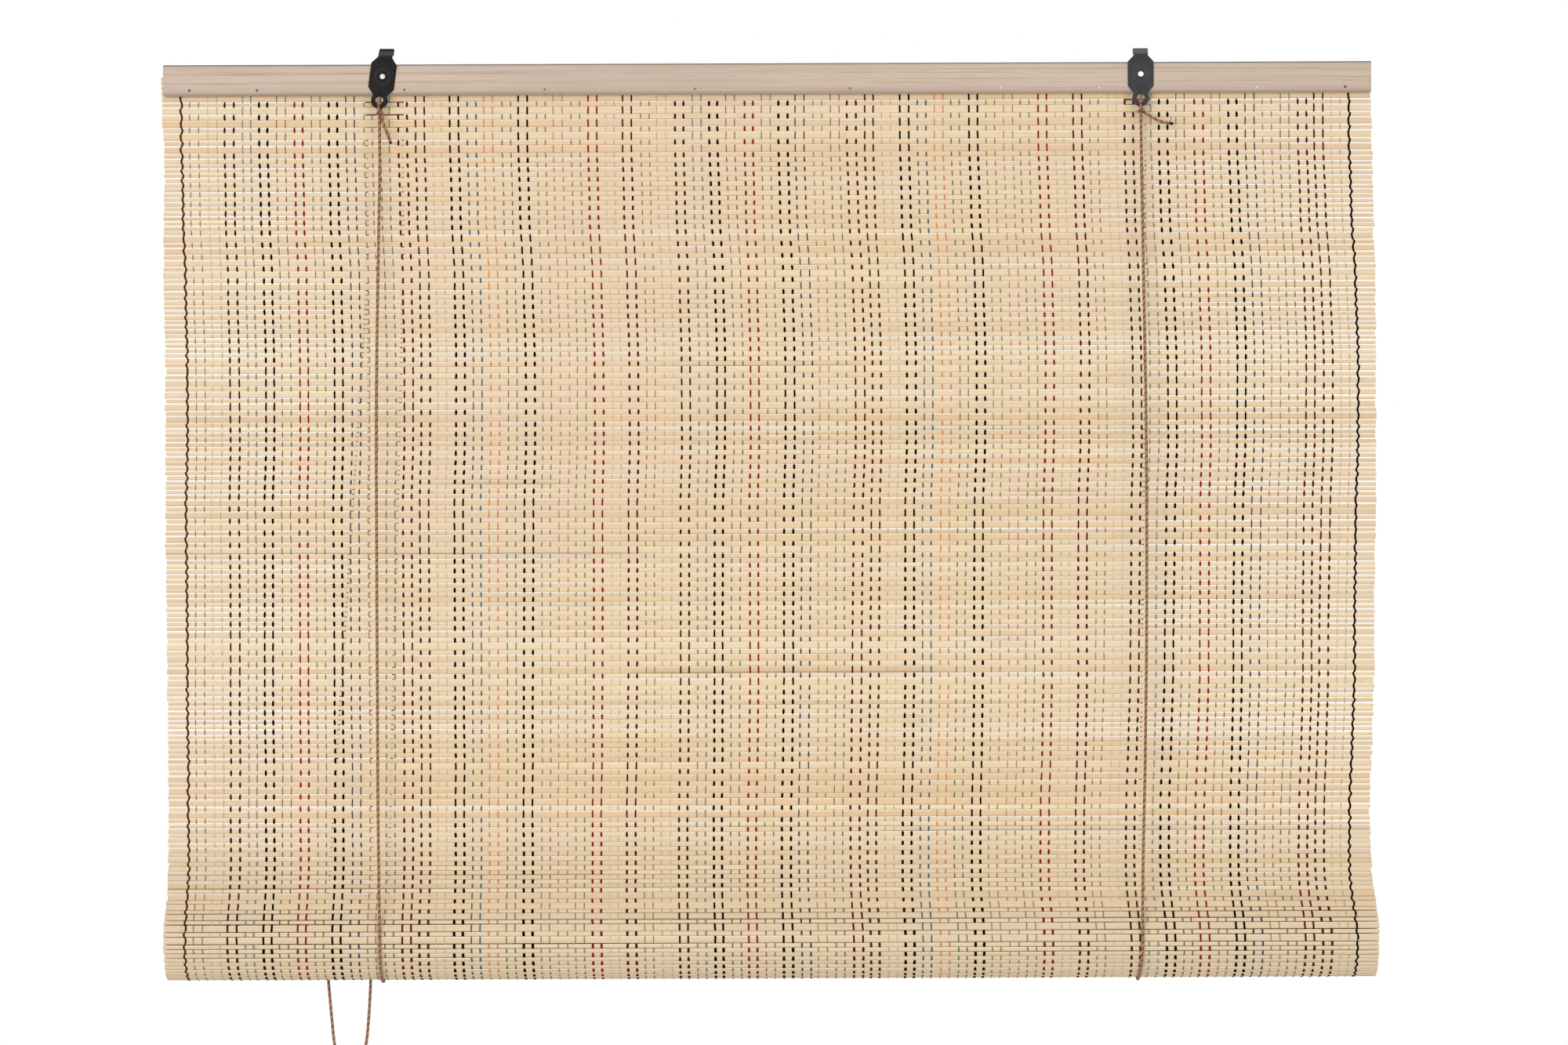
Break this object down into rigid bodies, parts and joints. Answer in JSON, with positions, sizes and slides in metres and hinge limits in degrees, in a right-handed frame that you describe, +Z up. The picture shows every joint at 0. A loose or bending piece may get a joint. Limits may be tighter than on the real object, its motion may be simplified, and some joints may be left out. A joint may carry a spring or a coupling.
{
  "type": "bamboo roll up blind",
  "caption": "Bamboo roll up window blind, half raised: slatted woven mat on a wooden rail, rolled at the foot in cord slings, with steel hooks, pulleys and a pull cord.",
  "frame": {"origin": "on the line through both hooks, at the middle of the rail's length", "axes": "+X along the rail to the right seen from the front, +Y to the back, +Z up"},
  "size_m": [1.2, 0.0967, 1.1072],
  "materials": {
    "rail_wood": "satin",
    "lath_wood": "matte",
    "bamboo": "satin",
    "black_steel": "satin",
    "zinc_screw": "polished",
    "nail_steel": "satin",
    "wheel_plastic": "matte",
    "twisted_cord": "matte",
    "tie_plastic": "matte",
    "thread_black": "matte",
    "thread_brown": "matte",
    "thread_maroon": "matte",
    "thread_red": "matte",
    "thread_orange": "matte",
    "thread_pink": "matte",
    "thread_blue": "matte",
    "thread_green": "matte",
    "thread_tan": "matte",
    "thread_cream": "matte"
  },
  "bodies": {
    "head": {"head_rail": "rail_wood", "back_lath": "lath_wood", "rail_brads": "nail_steel", "left_bracket": "black_steel", "right_bracket": "black_steel", "left_bracket_screw": "zinc_screw", "right_bracket_screw": "zinc_screw", "left_pulley_plate": "black_steel", "right_pulley_plate": "black_steel", "pulley_screws": "zinc_screw", "left_wheel_pins": "zinc_screw", "right_wheel_pin": "zinc_screw", "hanging_mat": "bamboo", "black_threads": "thread_black", "brown_threads": "thread_brown", "maroon_threads": "thread_maroon", "red_threads": "thread_red", "orange_threads": "thread_orange", "pink_threads": "thread_pink", "blue_threads": "thread_blue", "green_threads": "thread_green", "tan_threads": "thread_tan", "cream_threads": "thread_cream", "left_edge_thread": "thread_brown", "right_edge_thread": "thread_black", "left_knot": "twisted_cord", "right_knot": "twisted_cord", "left_front_cord": "twisted_cord", "right_front_cord": "twisted_cord", "left_back_cord": "twisted_cord", "right_back_cord": "twisted_cord", "left_lead_cord": "twisted_cord", "cross_cord": "twisted_cord", "left_pull_strand": "twisted_cord", "right_pull_strand": "twisted_cord", "pull_loop": "twisted_cord", "pull_coil": "twisted_cord", "coil_tie": "tie_plastic"},
    "cradle": {"mat_bend": "bamboo", "left_sling": "twisted_cord", "right_sling": "twisted_cord"},
    "roll": {"rolled_mat": "bamboo", "bottom_batten": "lath_wood"},
    "left_outer_wheel": {"left_outer_wheel": "wheel_plastic"},
    "left_inner_wheel": {"left_inner_wheel": "wheel_plastic"},
    "right_wheel": {"right_wheel": "wheel_plastic"}
  },
  "joints": [
    {"name": "roll_lift", "type": "slide", "parent": "head", "child": "cradle", "axis": [0, 0, 1], "range_m": [0, 0.7], "deforming": ["hanging_mat", "mat_bend", "black_threads", "brown_threads", "maroon_threads", "red_threads", "orange_threads", "pink_threads", "blue_threads", "green_threads", "tan_threads", "cream_threads", "left_edge_thread", "right_edge_thread", "left_front_cord", "right_front_cord", "left_back_cord", "left_pull_strand", "right_back_cord", "right_pull_strand", "left_sling", "right_sling", "pull_loop"]},
    {"name": "roll_turn", "type": "hinge", "parent": "cradle", "child": "roll", "pos_m": [0, 0.009, -0.878], "axis": [1, 0, 0], "range_deg": [0, 720]},
    {"name": "left_outer_wheel_spin", "type": "hinge", "parent": "head", "child": "left_outer_wheel", "pos_m": [-0.3921, 0.0196, -0.044], "axis": [0, 1, 0], "continuous": true},
    {"name": "left_inner_wheel_spin", "type": "hinge", "parent": "head", "child": "left_inner_wheel", "pos_m": [-0.3727, 0.0196, -0.044], "axis": [0, 1, 0], "continuous": true},
    {"name": "right_wheel_spin", "type": "hinge", "parent": "head", "child": "right_wheel", "pos_m": [0.3695, 0.0196, -0.044], "axis": [0, 1, 0], "continuous": true}
  ],
  "couplings": [
    {"joint": "roll_turn", "follows": "roll_lift", "rad_per_m": 17.95},
    {"joint": "left_outer_wheel_spin", "follows": "roll_lift", "rad_per_m": -243.9},
    {"joint": "left_inner_wheel_spin", "follows": "roll_lift", "rad_per_m": -243.9},
    {"joint": "right_wheel_spin", "follows": "roll_lift", "rad_per_m": -243.9}
  ]
}
